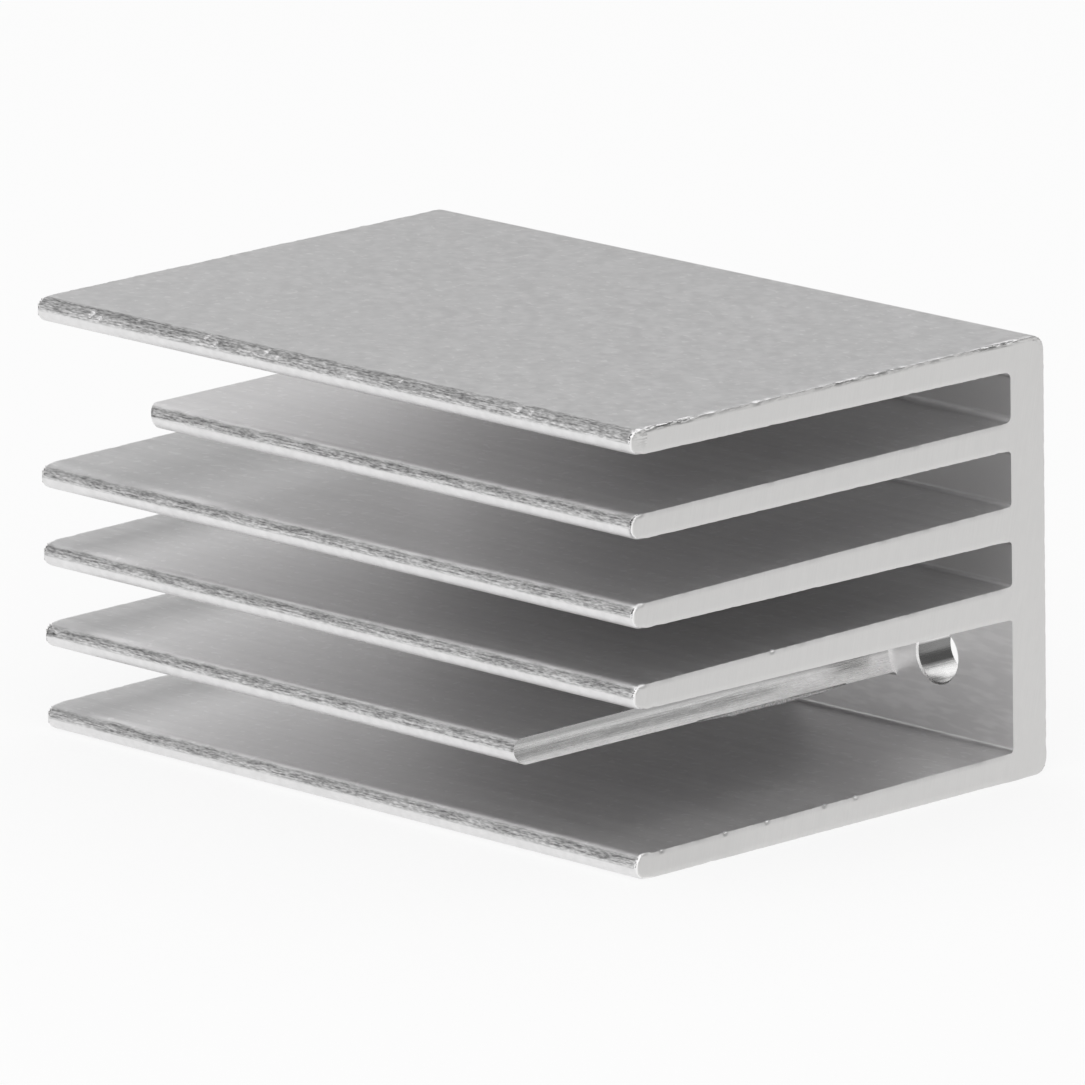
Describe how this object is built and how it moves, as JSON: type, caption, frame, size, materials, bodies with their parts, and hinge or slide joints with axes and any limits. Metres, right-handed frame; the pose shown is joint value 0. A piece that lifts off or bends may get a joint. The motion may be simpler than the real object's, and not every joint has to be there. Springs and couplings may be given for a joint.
{
  "type": "circuit board heat sink",
  "caption": "Extruded aluminium heat sink with tapered fins on a flat base, screw holes through the base and fins cut back to let the screw heads in.",
  "frame": {"origin": "middle of the flat mounting face", "axes": "+X out of the mounting face, away from the fins; Y along the extrusion; +Z across the fins, upwards when it stands on its bottom fin"},
  "size_m": [0.0456, 0.069, 0.036],
  "materials": {
    "bare_aluminium": "bare and satin as extruded, with sawn ends and milled cuts"
  },
  "bodies": {
    "root": {"heat_sink": "bare_aluminium"}
  },
  "joints": []
}
